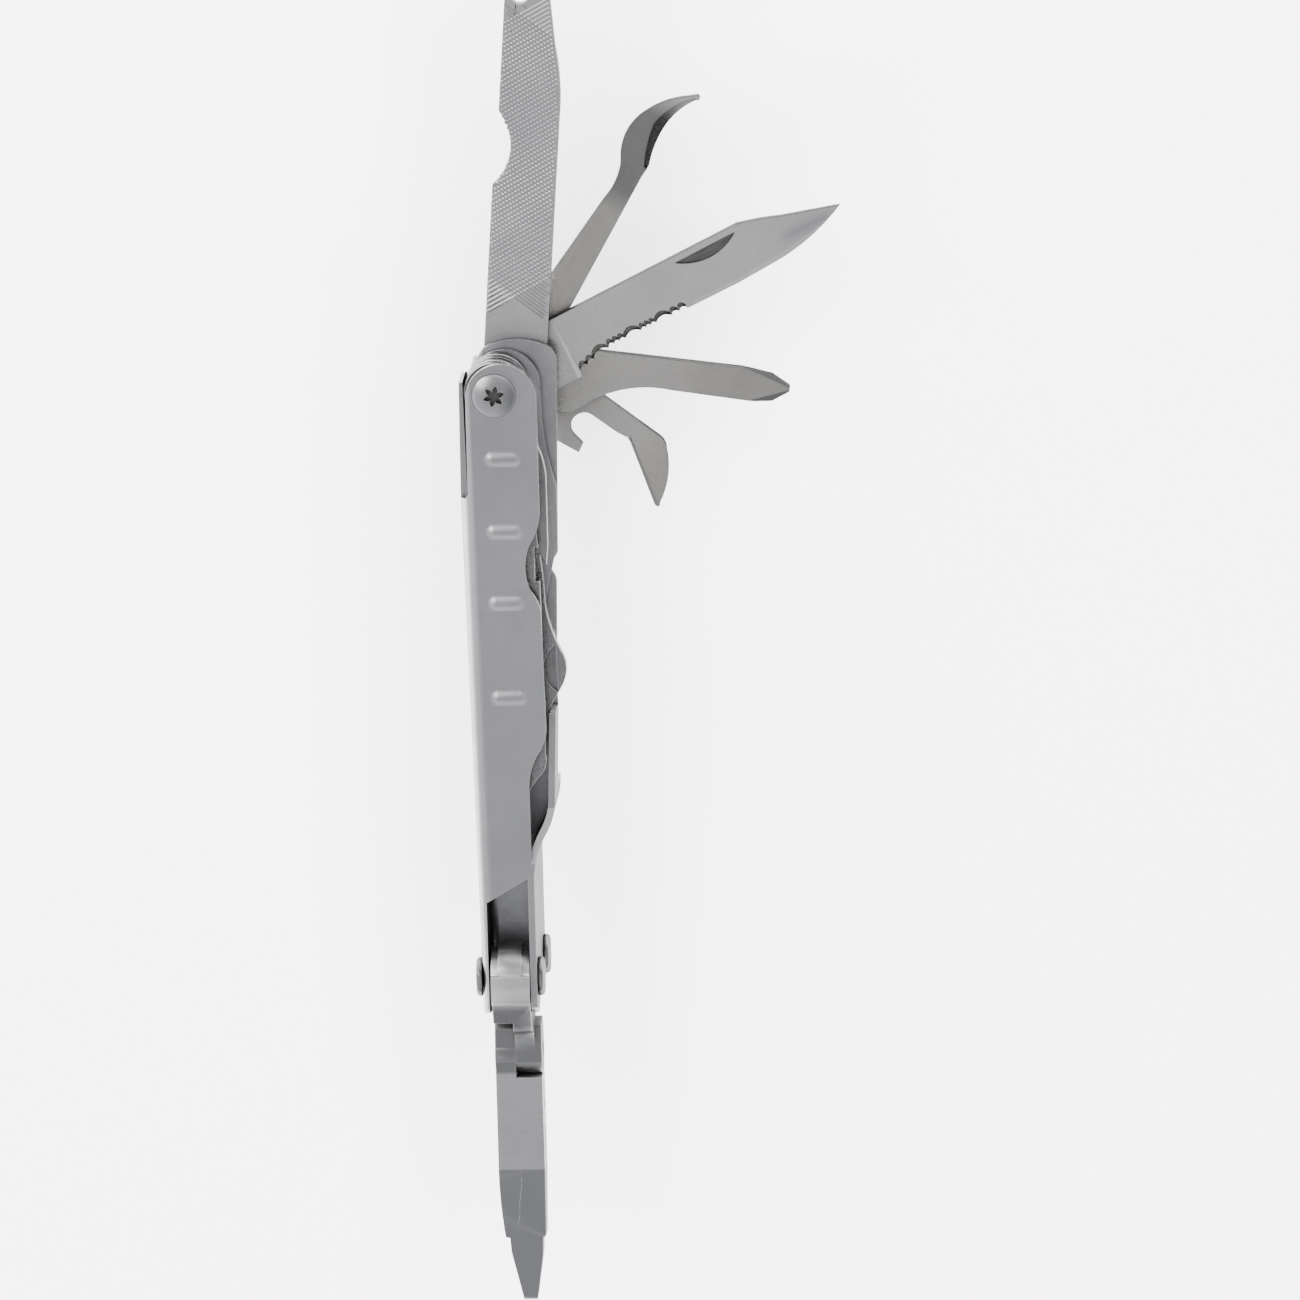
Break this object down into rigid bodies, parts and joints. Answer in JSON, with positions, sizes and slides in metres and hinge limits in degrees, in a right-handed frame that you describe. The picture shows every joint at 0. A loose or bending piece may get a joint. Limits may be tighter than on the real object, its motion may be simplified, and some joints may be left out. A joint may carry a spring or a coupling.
{
  "type": "multi tool",
  "caption": "Folding pocket multi tool: needle-nose pliers with two bent-sheet handles that hold fold-out file, knife, hook, screwdriver, opener and saw.",
  "frame": {"origin": "on the back handle's outer face, level with the tool pivots and on the plier head's centre line", "axes": "+Y from the plier hinges towards the tool pivots, +X the side the tools fold out of, +Z from the back handle to the front handle"},
  "size_m": [0.0587, 0.2049, 0.0253],
  "materials": {
    "handle_steel": "bead blasted",
    "tool_steel": "fine brushed",
    "blade_steel": "polished satin",
    "jaw_steel": "satin, darker towards the tips",
    "pivot_steel": "satin"
  },
  "bodies": {
    "back_handle": {"back_handle": "handle_steel", "back_tool_post": "pivot_steel", "back_tool_screw": "pivot_steel", "back_tool_washers": "pivot_steel", "back_handle_rivet": "pivot_steel"},
    "front_jaw": {"front_jaw": "jaw_steel", "jaw_pivot_pin": "pivot_steel"},
    "rear_jaw": {"rear_jaw": "jaw_steel"},
    "front_handle": {"front_handle": "handle_steel", "front_tool_post": "pivot_steel", "front_tool_screw": "pivot_steel", "front_tool_washers": "pivot_steel", "front_handle_rivet": "pivot_steel"},
    "file": {"file": "tool_steel"},
    "serrated_knife": {"serrated_knife": "blade_steel"},
    "hook_tool": {"hook_tool": "tool_steel"},
    "phillips_screwdriver": {"phillips_screwdriver": "tool_steel"},
    "can_opener": {"can_opener": "tool_steel"},
    "saw_blade": {"saw_blade": "tool_steel"},
    "pen_blade": {"pen_blade": "blade_steel"},
    "small_screwdriver": {"small_screwdriver": "tool_steel"},
    "large_screwdriver": {"large_screwdriver": "tool_steel"}
  },
  "joints": [
    {"name": "front_jaw_to_back_handle", "type": "hinge", "parent": "back_handle", "child": "front_jaw", "pos_m": [0, -0.0923, 0.0038], "axis": [-1, 0, 0], "range_deg": [-180, 0]},
    {"name": "jaw_pivot", "type": "hinge", "parent": "front_jaw", "child": "rear_jaw", "pos_m": [0, -0.1058, 0.01115], "axis": [1, 0, 0], "range_deg": [0, 40]},
    {"name": "front_handle_to_rear_jaw", "type": "hinge", "parent": "rear_jaw", "child": "front_handle", "pos_m": [0, -0.0923, 0.0185], "axis": [-1, 0, 0], "range_deg": [-180, 0]},
    {"name": "file_pivot", "type": "hinge", "parent": "back_handle", "child": "file", "pos_m": [0.0023, 0, 0.00555], "axis": [0, 0, 1], "range_deg": [-175.6, 4.4]},
    {"name": "serrated_knife_pivot", "type": "hinge", "parent": "back_handle", "child": "serrated_knife", "pos_m": [0.0023, 0, 0.00555], "axis": [0, 0, 1], "range_deg": [-117, 63]},
    {"name": "hook_tool_pivot", "type": "hinge", "parent": "back_handle", "child": "hook_tool", "pos_m": [0.0023, 0, 0.00555], "axis": [0, 0, 1], "range_deg": [-150, 30]},
    {"name": "phillips_screwdriver_pivot", "type": "hinge", "parent": "back_handle", "child": "phillips_screwdriver", "pos_m": [0.0023, 0, 0.00555], "axis": [0, 0, 1], "range_deg": [-82, 98]},
    {"name": "can_opener_pivot", "type": "hinge", "parent": "back_handle", "child": "can_opener", "pos_m": [0.0023, 0, 0.00555], "axis": [0, 0, 1], "range_deg": [-50, 130]},
    {"name": "saw_blade_pivot", "type": "hinge", "parent": "front_handle", "child": "saw_blade", "pos_m": [0, 0, 0.01675], "axis": [0, 0, 1], "range_deg": [0, 175]},
    {"name": "pen_blade_pivot", "type": "hinge", "parent": "front_handle", "child": "pen_blade", "pos_m": [0, 0, 0.01675], "axis": [0, 0, 1], "range_deg": [0, 175]},
    {"name": "small_screwdriver_pivot", "type": "hinge", "parent": "front_handle", "child": "small_screwdriver", "pos_m": [0, 0, 0.01675], "axis": [0, 0, 1], "range_deg": [0, 175]},
    {"name": "large_screwdriver_pivot", "type": "hinge", "parent": "front_handle", "child": "large_screwdriver", "pos_m": [0, 0, 0.01675], "axis": [0, 0, 1], "range_deg": [0, 175]}
  ]
}
